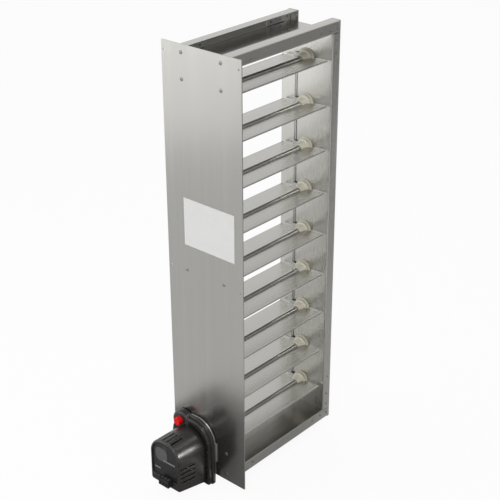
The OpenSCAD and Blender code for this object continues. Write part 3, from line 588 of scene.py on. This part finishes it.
# The group moulded_skin: a fine grain, and a slow mottle of colour and gloss.
moulding, start, end = grouped("moulded_skin", Grain=2600.0, Mottle=0.05, Roughness=0.5)
place = moulding.nodes.new("ShaderNodeTexCoord").outputs["Object"]
grain = noise(moulding, place, 1.0, detail=3.0, rough=0.6)
moulding.links.new(start.outputs["Grain"], grain.node.inputs["Scale"])
cloud = noise(moulding, place, mottle_scale, detail=3.0, rough=0.55)
low_end = sums(moulding, "SUBTRACT", 1.0, start.outputs["Mottle"])
high_end = sums(moulding, "ADD", 1.0, start.outputs["Mottle"])
moulding.links.new(spread(moulding, cloud, 0.3, 0.7, low_end, high_end), end.inputs["Shade"])
dull = sums(moulding, "MULTIPLY", sums(moulding, "SUBTRACT", cloud, 0.5), dull_share)
moulding.links.new(sums(moulding, "ADD", start.outputs["Roughness"], dull), end.inputs["Roughness"])
moulding.links.new(grain, end.inputs["Height"])


def moulded(parts, colour, grain_scale, mottle, roughness, bump, depth):
    """Plastic with the skin of its mould; grain_scale is in grains per metre."""
    return finish_on(
        parts, colour, bump, depth, moulding, Grain=grain_scale, Mottle=mottle, Roughness=roughness,
    )


moulded(
    (nylon, tree, shader), (0.83, 0.80, 0.68),
    grain_scale=900.0, mottle=0.05, roughness=0.46, bump=0.15, depth=0.1 * mm,
)

for i in blade_numbers:
    low, high = (np.array(corner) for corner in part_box(f"blade_{i}"))
    centre = (0, 0, (low[2] + high[2]) / 2)
    near, faces = turned(cap_profile(i != driven_blade))
    far, far_faces = turned(cap_profile(True))
    near = near + [low[0] - cap_gap, 0, 0]
    far = far * [-1, -1, 1] + [high[0] + cap_gap, 0, 0]
    points = np.concatenate([near.reshape(-1, 3), far.reshape(-1, 3)])
    faces += shifted(far_faces, near.shape[0] * near.shape[1])
    caps = mesh_piece(
        f"blade_{i}_caps", on_blade_axis(points, centre), faces,
        nylon, body_of_node(f"bearing_caps_{i}"),
    )
    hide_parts(f"bearing_caps_{i}")


# Bushes: flanged cream nylon sleeves, snapped into the webs of both jambs, one at each end of
# every blade. Only the thin flange shows behind a cap's disc.
bush_flange, bush_thick, bush_barrel, bush_tail = 38 * mm, 1.5 * mm, 14 * mm, 18 * mm
web_thick = 2 * mm


def bush_profile():
    """Closed section of a bush along +x: flange from x = 0, then sleeve and snap rim."""
    bore, soft = journal / 2 + running_gap, 0.3 * mm
    end_x = 2 * bush_thick + web_thick
    return np.array([
        (soft, bore), (0, bore + soft), (0, bush_flange / 2 - soft), (soft, bush_flange / 2),
        (bush_thick, bush_flange / 2), (bush_thick, bush_barrel / 2),
        (bush_thick + web_thick, bush_barrel / 2), (bush_thick + web_thick, bush_tail / 2),
        (end_x - soft, bush_tail / 2), (end_x, bush_tail / 2 - soft), (end_x, bore),
    ])


turns = {
    "+x": np.eye(3),
    "-x": np.array([[-1, 0, 0], [0, -1, 0], [0, 0, 1]]),
    "+y": np.array([[0, -1, 0], [1, 0, 0], [0, 0, 1]]),
    "-y": np.array([[0, 1, 0], [-1, 0, 0], [0, 0, 1]]),
}


def placed(grid, at, way="-x"):
    """The points of a shape made along +x, turned to run another way and moved to its place."""
    return grid.reshape(-1, 3) @ turns[way].T + np.array(at)


def like_shapes(node, name, grid, faces, places, material, smooth_angle=30.0):
    """One piece of like shapes in place of a CAD node; places are (point on the seat, way)."""
    points, all_faces = [], []
    for at, way in places:
        all_faces += shifted(faces, len(points) * grid.shape[0] * grid.shape[1])
        points.append(placed(grid, at, way))
    piece = mesh_piece(name, np.concatenate(points), all_faces, material, "frame", smooth_angle)
    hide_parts(node)


bush = turned(bush_profile())[0]
faces = strip_faces(*bush.shape[:2], wrap_rows=True)
heights = [sum(corner.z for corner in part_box(f"blade_{i}")) / 2 for i in blade_numbers]
for node, name, x, way in (
    ("right_bushes", "far_bushes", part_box("right_bushes")[0].x, "+x"),
    ("left_bushes", "near_bushes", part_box("left_bushes")[1].x, "-x"),
):
    like_shapes(node, name, bush, faces, [((x, 0, z), way) for z in heights], nylon)


# Linkage: a zinc plated crank behind each far cap carries a pin, and one straight wire with an
# eye on every pin ties the nine blades. The shaft comes in from the actuator.
small_edge, shaft_edge = 0.15 * mm, 0.3 * mm
for i in blade_numbers:
    eased(f"crank_{i}", f"crank_{i}_plate", small_edge, zinc, body_of_node(f"crank_{i}"))
eased("link_rod", "linkage_wire", small_edge, zinc, body_of_node("link_rod"))
eased("drive_shaft", "actuator_shaft", shaft_edge, zinc, body_of_node("drive_shaft"))


# Rivets: closed end blind rivets of zinc plated steel. The set head is a low dome with the hole left by its
# mandrel, and each one stands where the frame's solid puts it. Their colour is darker than the zinc
# elsewhere: a painted shade for the dark surroundings that their domes mirror.
head_high, shank = 1.2 * mm, 3.2 * mm
frame_head, plate_head, rivet_sides = 5.5 * mm, 8 * mm, 24


def solids_of(node):
    """Boxes of the separate solids of a CAD node: corners that share a face get one label."""
    mesh = frame["nodes"][node].data
    points = np.empty(len(mesh.vertices) * 3)
    mesh.vertices.foreach_get("co", points)
    points = points.reshape(-1, 3)
    _, same = np.unique(np.round(points / weld_within).astype(int), axis=0, return_inverse=True)
    same = same.reshape(-1)
    loops = np.empty(len(mesh.loops), dtype=int)
    mesh.loops.foreach_get("vertex_index", loops)
    triangles = same[loops].reshape(-1, 3)
    label = np.arange(same.max() + 1)
    while True:
        least = label[triangles].min(axis=1)
        after = label.copy()
        for corner in range(3):
            np.minimum.at(after, triangles[:, corner], least)
        if (after == label).all():
            break
        label = after
    owner = label[same]
    return [(points[owner == k].min(axis=0), points[owner == k].max(axis=0)) for k in np.unique(owner)]


def rivet_profile(head, depth):
    """Section of a set rivet along its axis: mandrel hole, dome, rim, then shank and tail."""
    hole, well, rim = 0.17 * head, 0.55 * head_high, 0.1 * mm
    angle = np.radians(np.linspace(22, 90, 7))
    crown = np.stack([head_high * np.cos(angle), head / 2 * np.sin(angle)], axis=-1)
    return np.concatenate([
        [(head_high - well, 0), (head_high - well, hole), (head_high * 0.93, hole * 1.05)], crown,
        [(-rim, head / 2), (-rim, shank / 2), (-depth, shank / 2), (-depth, 0)],
    ])


# The rivets' darker grey is painted shade. It stands in for dark reflections on their domes, not for a
# darker metal.
rivet_steel_painted_dark = mill_metal(
    "rivet_steel_painted_dark", (0.24, 0.24, 0.24), no_lines, 0.30, shade=0.06, patches=0.1, bump=0.1,
)
places = []
for low, high in solids_of("frame_rivets"):
    middle = (low + high) / 2
    depth = high[1] - low[1] - head_high
    if middle[1] < 0:
        places.append(((middle[0], low[1] + head_high, middle[2]), "-y"))
    else:
        places.append(((middle[0], high[1] - head_high, middle[2]), "+y"))
rivet, faces = turned(rivet_profile(frame_head, depth), rivet_sides)
like_shapes("frame_rivets", "rivets_of_frame", rivet, faces, places, rivet_steel_painted_dark)

places = []
for low, high in solids_of("plate_rivets"):
    middle = (low + high) / 2
    depth = high[0] - low[0] - head_high
    places.append(((low[0] + head_high, middle[1], middle[2]), "-x"))
rivet, faces = turned(rivet_profile(plate_head, depth), rivet_sides)
like_shapes("plate_rivets", "rivets_of_plate", rivet, faces, places, rivet_steel_painted_dark)


# Label: a plain satin film, stuck to the plate's outer face, with nothing printed on it.
film_edge = 0.1 * mm
film = moulded(
    new_material("label_film", Metallic=0.0, Coat_Weight=0.15, Coat_Roughness=0.3), (0.70, 0.70, 0.69),
    grain_scale=400.0, mottle=0.02, roughness=0.42, bump=0.1, depth=0.02 * mm,
)
eased("plate_label", "bare_label", film_edge, film)


# Actuator base: a black moulded shell in two steps with an arched top, screwed through its rim
# to the bracket and the plate. An ear at the upper rear carries the release button.
shaft_low, shaft_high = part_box("drive_shaft")
shaft_z = (shaft_low.z + shaft_high.z) / 2
base_low, base_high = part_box("actuator_base")
base_width = base_high.y - base_low.y
base_middle = (base_high.y + base_low.y) / 2
base_back = base_high.x
base_front, step_x = base_back - 15 * mm, base_back - 7 * mm
base_tall, base_corner, base_foot, least_foot = 148 * mm, 52 * mm, 6 * mm, 1 * mm
base_wall, step_round, face_round = 2.6 * mm, 1.6 * mm, 2 * mm
back_edge, back_edge_deep = 0.3 * mm, 0.4 * mm
step_in, step_edge = 4 * mm, 0.3 * mm
even_sides = np.linspace(0, 1, 7)
even_arc = np.linspace(0, 90, 24)


def arch_outline(width, tall, corner, foot, middle_y, floor_z, side_shares, arc_degrees, crown_shares=()):
    """Arched outline as (y, z): a flat foot, upright sides and a round shoulder on each side.

    It is one half run from the foot's middle to the top, then the same half mirrored back.
    side_shares place the points up a side, arc_degrees those round a shoulder, crown_shares
    those along the flat top, counted from its middle."""
    half = width / 2
    low = np.radians(np.linspace(-90, 0, 6))
    up = np.radians(arc_degrees)
    bottom = np.stack([np.linspace(0, half - foot, 4)[:-1], np.zeros(3)], axis=-1)
    foot_arc = np.stack([half - foot + foot * np.cos(low), foot + foot * np.sin(low)], axis=-1)
    side = np.stack([np.full(len(side_shares), half), foot + (tall - corner - foot) * side_shares], axis=-1)
    shoulder = np.stack([half - corner + corner * np.cos(up), tall - corner + corner * np.sin(up)], axis=-1)
    crown = [((half - corner) * share, tall) for share in crown_shares]
    right = np.concatenate([bottom, foot_arc, side[1:-1], shoulder, np.reshape(crown, (-1, 2))])
    left = right[:0:-1] * [-1, 1]
    return np.concatenate([right, left]) + [middle_y, floor_z]


def stacked(rings):
    """Grid of points from a list of (x, outline) pairs."""
    return np.stack([np.insert(outline, 0, x, axis=1) for x, outline in rings])


def rounded_step(x_from, x_to, inset_from, inset_to, steps=5):
    """(x, inset) pairs round a quarter circle from a side wall to a face."""
    deep, wide = x_to - x_from, inset_to - inset_from
    turn = np.radians(np.linspace(0, 90, steps))
    return [(x_from + deep * math.sin(a), inset_from + wide * (1 - math.cos(a))) for a in turn]


def base_ring(x, inset, foot_inset):
    """Outline of the base at x, drawn in by inset at the sides and top, less at the foot."""
    return x, arch_outline(
        base_width - 2 * inset, base_tall - inset - foot_inset, base_corner - inset,
        max(base_foot - foot_inset, least_foot), base_middle, base_low.z + foot_inset, even_sides, even_arc,
    )


black_plastic = moulded(
    new_material("black_plastic", IOR=1.52), (0.022, 0.0205, 0.019),
    grain_scale=2400.0, mottle=0.05, roughness=0.28, bump=0.12, depth=0.04 * mm,
)
step_turn = rounded_step(step_x + step_round, step_x, 0, step_round)
face_turn = rounded_step(base_front + face_round, base_front, 0, face_round)
rows = [(base_back, back_edge, back_edge), (base_back - back_edge_deep, 0, 0)]
rows += [(x, inset, 0) for x, inset in step_turn]
rows += [(step_x, step_in - step_edge, 0), (step_x - step_edge, step_in, 0)]
rows += [(x, step_in + inset, inset) for x, inset in face_turn]
# The front is open behind the housing, where the gears stand.
opening_wide, opening_tall, opening_corner, opening_foot = 82 * mm, 117 * mm, 40 * mm, 3 * mm
opening_middle, opening_floor = 38 * mm, base_low.z + 8 * mm
works_opening = arch_outline(
    opening_wide, opening_tall, opening_corner, opening_foot, opening_middle, opening_floor,
    even_sides, even_arc,
)
grid = stacked([base_ring(*row) for row in rows] + [(base_front, works_opening)])
faces = strip_faces(len(grid), grid.shape[1])
base = mesh_piece("actuator_base_shell", grid, faces, black_plastic, "frame", 40)
wall = base.modifiers.new("wall", "SOLIDIFY")
wall.thickness, wall.offset = base_wall, -1
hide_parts("actuator_base")
actuator_lit.objects.link(base)

button_low, button_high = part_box("release_button")
button_middle = (0, (button_low.y + button_high.y) / 2, (button_low.z + button_high.z) / 2)
button_radius = (button_high.z - button_low.z) / 2
ear_radius, ear_round, ear_front = 24 * mm, 4 * mm, base_low.x
ear_centre = (base_back, 64.5 * mm, shaft_z + 18.5 * mm)
hole_radius = button_radius + 0.1 * mm
collar_wide, collar_high, collar_round = 2.2 * mm, 1.2 * mm, 0.5 * mm


def collar_profile(radius, long, hole, round_edge):
    """Section of a disc with a hole and a rounded rim; long is its height over the seat."""
    lip = 0.4 * mm
    rim = arc((long - round_edge, radius - round_edge), round_edge, 0, 90, 6)
    return np.concatenate([[(0, hole), (long - lip, hole), (long, hole + lip)], rim, [(0, radius)]])


ear, faces = turned(collar_profile(ear_radius, base_back - ear_front, hole_radius, ear_round), 72)
# The first three rings are the hole's, and the button stands off the ear's centre.
ear[:3] += [0, ear_centre[1] - button_middle[1], button_middle[2] - ear_centre[2]]
mesh_piece("base_ear", placed(ear, ear_centre), faces, black_plastic, "frame", 40)
collar, faces = turned(
    collar_profile(button_radius + collar_wide, collar_high, hole_radius, collar_round), 48,
)
collar = placed(collar, (ear_front, button_middle[1], button_middle[2]))
mesh_piece("button_collar", collar, faces, black_plastic, "frame", 40)


# Housing: a black moulded cover, screwed to the base, that narrows towards its rounded nose.
# Cooling slots go through its top and its near side, along the way it leaves the mould.
nose_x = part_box("actuator_housing")[0].x
root_wide, root_tall, root_corner = 88 * mm, 123 * mm, 43 * mm
nose_wide, nose_tall, nose_corner = 84 * mm, 109 * mm, 38 * mm
root_middle, nose_middle = 38 * mm, 43 * mm
root_floor, nose_floor = base_low.z + 5 * mm, base_low.z + 15 * mm
nose_round, recess_in, recess_foot, recess_deep = 4 * mm, 6 * mm, 19 * mm, 3.7 * mm
recess_lip, recess_edge, recess_corner_foot, floor_in = 0.4 * mm, 0.3 * mm, 3 * mm, 6 * mm
housing_wall, slot_lip, side_flat = 2.2 * mm, 0.35 * mm, 0.1 * mm
slot_wide, slot_front = 3.2 * mm, nose_x + 4.7 * mm
# Four slots in each row: the top's by their distance from the nose's middle, the side's by
# the height of their lower edge.
top_slots = (np.arange(4) - 1.5) * 12 * mm + 2.5 * mm
side_slots = nose_floor + 22.5 * mm + np.arange(4) * 10.4 * mm
top_slot_back, side_slot_back = slot_front + 32 * mm, slot_front + 39 * mm

# Points of the outline that fall on the slots' edges, so that a slot is a strip left open.
side_long, flat_half = nose_tall - nose_corner - base_foot, nose_wide / 2 - nose_corner
slot_shares = (side_slots - nose_floor - base_foot) / side_long
side_shares = np.unique(np.concatenate([
    [0, 0.12, 0.93, 1], slot_shares, slot_shares + slot_wide / side_long,
]))
slot_edges = np.abs(np.concatenate([top_slots - slot_wide / 2, top_slots + slot_wide / 2]))
crown_shares = np.sort(slot_edges[slot_edges < flat_half])[::-1] / flat_half
slot_angles = np.degrees(np.arccos((slot_edges[slot_edges > flat_half] - flat_half) / nose_corner))
arc_degrees = np.unique(np.concatenate([np.linspace(0, 52, 14), slot_angles, [90]]))


def housing_ring(x, inset):
    """Outline of the housing at x: root and nose outlines mixed by the distance, less inset."""
    mix = min((base_front - x) / (base_front - nose_x), 1)
    wide = root_wide + (nose_wide - root_wide) * mix
    tall = root_tall + (nose_tall - root_tall) * mix
    corner = root_corner + (nose_corner - root_corner) * mix
    middle = root_middle + (nose_middle - root_middle) * mix
    floor_z = root_floor + (nose_floor - root_floor) * mix
    return x, arch_outline(
        wide - 2 * inset, tall - 2 * inset, corner - inset, max(base_foot - inset, least_foot),
        middle, floor_z + inset, side_shares, arc_degrees, crown_shares,
    )


def recess_ring(x, inset):
    """Outline of the recess in the nose at x, with its higher foot, less inset."""
    edge = recess_in + inset
    return x, arch_outline(
        nose_wide - 2 * edge, nose_tall - recess_foot - recess_in - 2 * inset, nose_corner - edge,
        recess_corner_foot, nose_middle, nose_floor + recess_foot + inset,
        side_shares, arc_degrees, crown_shares,
    )


body_x = np.linspace(base_front, side_slot_back, 4)
slot_x = (top_slot_back, (top_slot_back + slot_front) / 2, slot_front)
nose_turn = rounded_step(nose_x + nose_round, nose_x, 0, nose_round, 7)
rings = [housing_ring(x, 0.0) for x in (*body_x, *slot_x)]
rings += [housing_ring(x, inset) for x, inset in nose_turn]
rings += [recess_ring(nose_x, -recess_lip), recess_ring(nose_x + recess_edge, 0)]
rings += [recess_ring(nose_x + recess_deep, 0), recess_ring(nose_x + recess_deep, floor_in)]
grid = stacked(rings)
quads = np.array(strip_faces(len(rings), grid.shape[1]))
along = quads.reshape(len(rings) - 1, grid.shape[1], 4)
middle_x = grid.reshape(-1, 3)[along][:, 0, :, 0].mean(axis=1)
outline = housing_ring(nose_x, 0)[1]
across, up = ((outline + np.roll(outline, -1, axis=0)) / 2).T
in_top = (np.abs(across[:, None] - nose_middle - top_slots) < slot_wide / 2).any(axis=1)
in_top &= up > nose_floor + nose_tall - nose_corner
in_side = (np.abs(up[:, None] - side_slots - slot_wide / 2) < slot_wide / 2).any(axis=1)
in_side &= across < nose_middle - nose_wide / 2 + side_flat
open_top = (middle_x > slot_front) & (middle_x < top_slot_back)
open_side = (middle_x > slot_front) & (middle_x < side_slot_back)
is_slot = open_top[:, None] & in_top[None, :] | open_side[:, None] & in_side[None, :]
faces = quads[~is_slot.reshape(-1)].tolist()
recess_floor = range(grid.shape[1])
faces += shifted([recess_floor], (len(rings) - 1) * grid.shape[1])
housing = mesh_piece("actuator_cover", grid, faces, black_plastic, "frame", 40)
wall = housing.modifiers.new("wall", "SOLIDIFY")
wall.thickness, wall.offset = housing_wall, -1
lips = housing.modifiers.new("slot_lips", "BEVEL")
lips.width, lips.segments, lips.limit_method = slot_lip, 2, "ANGLE"
lips.angle_limit = math.radians(50)
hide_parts("actuator_housing")
actuator_lit.objects.link(housing)


# Front panel: a smoother black plate let into the nose, with a paler rounded pad that is left
# bare, and the terminal block below it with its three screws. A face takes its plastic by how
# far it stands out of the panel: the pad from pad_from on, the bars from bar_from on.
panel_face, pad_from, bar_from = nose_x + 2.5 * mm, 0.1 * mm, 1.2 * mm
panel_edge, block_edge = 0.25 * mm, 0.4 * mm
panel_black = moulded(
    new_material("panel_black", IOR=1.5, Coat_Weight=0.1, Coat_Roughness=0.2), (0.018, 0.018, 0.02),
    grain_scale=1200.0, mottle=0.05, roughness=0.3, bump=0.05, depth=0.03 * mm,
)
pad_grey = moulded(
    new_material("pad_grey", IOR=1.5), (0.085, 0.085, 0.088),
    grain_scale=900.0, mottle=0.06, roughness=0.45, bump=0.1, depth=0.03 * mm,
)
bar_grey = moulded(
    new_material("bar_grey", IOR=1.5), (0.22, 0.22, 0.22),
    grain_scale=900.0, mottle=0.05, roughness=0.4, bump=0.1, depth=0.03 * mm,
)
panel = eased("front_panel", "panel_plate", panel_edge, panel_black)
panel.data.materials.append(pad_grey)
panel.data.materials.append(bar_grey)
centres = np.empty(len(panel.data.polygons) * 3)
panel.data.polygons.foreach_get("center", centres)
raised_by = panel_face - centres[::3]
plastic = (raised_by > pad_from).astype(int) + (raised_by > bar_from)
panel.data.polygons.foreach_set("material_index", plastic)

block_black = moulded(
    new_material("block_black", IOR=1.5), (0.012, 0.012, 0.012),
    grain_scale=1800.0, mottle=0.05, roughness=0.42, bump=0.2, depth=0.04 * mm,
)
eased("terminal_block", "terminals", block_edge, block_black)
eased("terminal_screws", "terminal_screw_heads", small_edge, zinc)


# Screws: blackened pan heads with a cross recess hold the base's rim to the bracket and the
# plate, one where each screw of the CAD node stands. Only their heads are made.
pan_radius, pan_tall = 2.8 * mm, 2 * mm


def pan_head(radius, tall, sides=32):
    """Head of a screw as a height over a disc: tall * (1 - drop * (r / radius)^4) less a cross.

    The cross is a soft step of the smaller of |y| and |z|, over the recess in the middle. Its
    arm, its softness and its reach are shares of the radius, its depth is one of the height."""
    drop, deep = 0.4, 0.45
    arm_half, soft, reach = 0.16 * radius, 0.03 * radius, 0.6 * radius
    r = np.concatenate([np.linspace(0, 1, 12), [1.0]])[:, None] * radius
    angle = np.linspace(0, 2 * np.pi, sides, endpoint=False)[None, :]
    y, z = r * np.cos(angle), r * np.sin(angle)
    arm = np.minimum(np.abs(y), np.abs(z))
    cross = (1 / (1 + np.exp((arm - arm_half) / soft))) * (r < reach)
    x = tall * (1 - drop * (r / radius) ** 4) - deep * tall * cross
    x[-1] = 0
    return np.stack([x, y, z], axis=-1), strip_faces(len(x), sides)


black_steel = mill_metal(
    "black_steel", (0.05, 0.05, 0.052), no_lines, 0.38, shade=0.06, patches=0.1, bump=0.1,
)
places = []
for low, high in solids_of("base_screws"):
    middle = (low + high) / 2
    places.append(((low[0] + pan_tall, middle[1], middle[2]), "-x"))
head, faces = pan_head(pan_radius, pan_tall)
like_shapes("base_screws", "rim_screws", head, faces, places, black_steel, 50)


# Release button: a glossy red plunger in a round collar, with a shallow dish for the finger.
red = moulded(
    new_material("red_plastic", IOR=1.5, Specular_IOR_Level=0.2), (0.80, 0.002, 0.006),
    grain_scale=900.0, mottle=0.04, roughness=0.32, bump=0.05, depth=0.03 * mm,
)


def button_profile(radius, long):
    """Section of the button along its axis: dish, rounded rim, side and flat inner end."""
    dish_share, dish_deep, rim_round, inner_edge = 0.62, 0.7 * mm, 1.2 * mm, 0.3 * mm
    dish = np.linspace(0, dish_share, 6)
    bowl = np.stack([long - dish_deep * (1 - (dish / dish_share) ** 2), dish * radius], axis=-1)
    rim = arc((long - rim_round, radius - rim_round), rim_round, 0, 90, 6)
    return np.concatenate([bowl, rim, [(inner_edge, radius), (0, radius - inner_edge), (0, 0)]])


button, faces = turned(button_profile(button_radius, button_high.x - button_low.x))
plunger = mesh_piece(
    "red_button", placed(button, (button_high.x, *button_middle[1:])), faces,
    red, body_of_node("release_button"), 40,
)
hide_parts("release_button")
actuator_lit.objects.link(plunger)


# Spring behind the button: a coil of oiled spring steel wire that stands in the button's pocket, between
# the button's end and the wall. It keeps its full length and rides with the frame.
spring_steel = mill_metal(
    "spring_steel", (0.36, 0.37, 0.40), no_lines, 0.3, shade=0.05, patches=0.08, bump=0.1,
)
wire_radius, coil_turns, coil_steps, wire_sides = 0.35 * mm, 4, 96, 12
coil_low, coil_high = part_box("button_spring")
coil_middle = (coil_low + coil_high) / 2
coil_radius = (coil_high.z - coil_low.z) / 2 - wire_radius
coil_size = coil_high.x - coil_low.x
way = np.concatenate([[0], np.linspace(0, 1, coil_steps + 1), [1]])[:, None]
wire = np.full_like(way, wire_radius)
wire[[0, -1]] = 0  # closes the two ends
round_axis = 2 * np.pi * coil_turns * way
round_wire = np.linspace(0, 2 * np.pi, wire_sides, endpoint=False)
coil_points = np.stack([
    coil_low.x + wire_radius + (coil_size - 2 * wire_radius) * way + wire * np.sin(round_wire),
    coil_middle.y + (coil_radius + wire * np.cos(round_wire)) * np.cos(round_axis),
    coil_middle.z + (coil_radius + wire * np.cos(round_wire)) * np.sin(round_axis),
], axis=-1)
coil = mesh_piece(
    "button_coil", coil_points, strip_faces(len(way), wire_sides),
    spring_steel, "frame", 60,
)
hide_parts("button_spring")
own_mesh(coil)


# Works inside the actuator: motor, gears, springs and board stay as the frame has them and
# take the finish of drawn steel, cut gears, oiled spring steel, nylon and solder mask.
def finished(node, material):
    """Gives a CAD node's own object a procedural material."""
    for slot in frame["nodes"][node].material_slots:
        slot.material = material


motor_can = mill_metal("motor_can", (0.60, 0.61, 0.62), along_x, 0.28)
gear_nylon = moulded(
    new_material("gear_nylon", IOR=1.5), (0.78, 0.76, 0.68),
    grain_scale=900.0, mottle=0.04, roughness=0.45, bump=0.1, depth=0.05 * mm,
)
board_green = moulded(
    new_material("board_green", IOR=1.5, Coat_Weight=0.3, Coat_Roughness=0.2), (0.02, 0.16, 0.06),
    grain_scale=600.0, mottle=0.08, roughness=0.4, bump=0.1, depth=0.03 * mm,
)
for node, material in {
    "motor": motor_can, "motor_pinion": zinc, "idler_gear": gear_nylon, "reduction_gear": gear_nylon,
    "output_gear": zinc, "return_spring": spring_steel,
    "circuit_board": board_green, "housing_screws": zinc,
}.items():
    finished(node, material)
